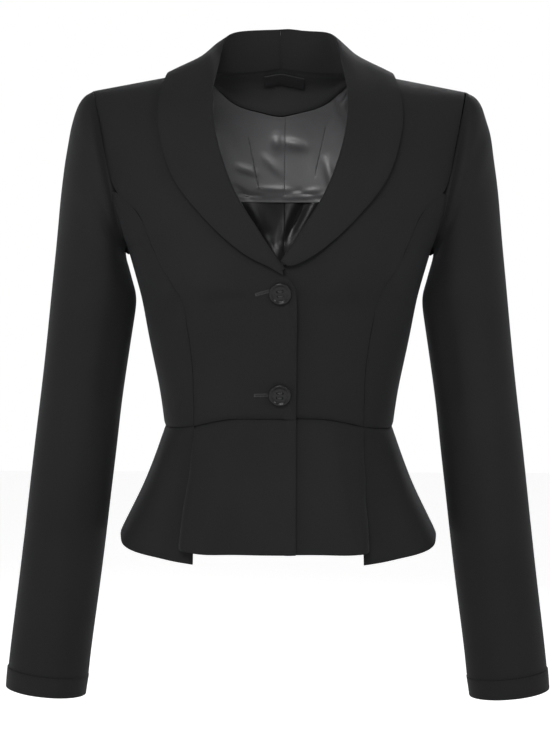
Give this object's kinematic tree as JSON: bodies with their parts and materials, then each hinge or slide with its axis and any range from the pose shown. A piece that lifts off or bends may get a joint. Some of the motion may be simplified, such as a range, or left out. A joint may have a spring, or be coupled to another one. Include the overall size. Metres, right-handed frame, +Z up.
{
  "type": "peplum jacket",
  "caption": "Fitted peplum jacket with shawl collar, princess seams, buttoned front, long set-in sleeves and flared peplum, in hollow worn form.",
  "frame": {"origin": "midway between the two shoulder points, where the wearer's shoulders hold the jacket", "axes": "+Z up along the body, -Y out of the front, +X towards the wearer's left"},
  "size_m": [0.5452, 0.2515, 0.6647],
  "materials": {
    "suiting": "matte black suiting with a fine twill weave",
    "satin": "dark grey satin lining with a soft sheen",
    "label": "plain black woven patch, bare",
    "button": "glossy black four-hole button"
  },
  "bodies": {
    "root": {"front_right": "suiting", "front_left": "suiting", "side_front_right": "suiting", "side_front_left": "suiting", "back_right": "suiting", "back_left": "suiting", "peplum_front_right": "suiting", "peplum_front_left": "suiting", "peplum_side_right": "suiting", "peplum_side_left": "suiting", "peplum_back": "suiting", "sleeve_right": "suiting", "sleeve_left": "suiting", "cuff_right": "suiting", "cuff_left": "suiting", "shawl_right": "suiting", "shawl_left": "suiting", "neck_facing": "suiting", "lining_upper": "satin", "lining_lower": "satin", "neck_label": "label", "button_upper": "button", "button_lower": "button"}
  },
  "joints": []
}
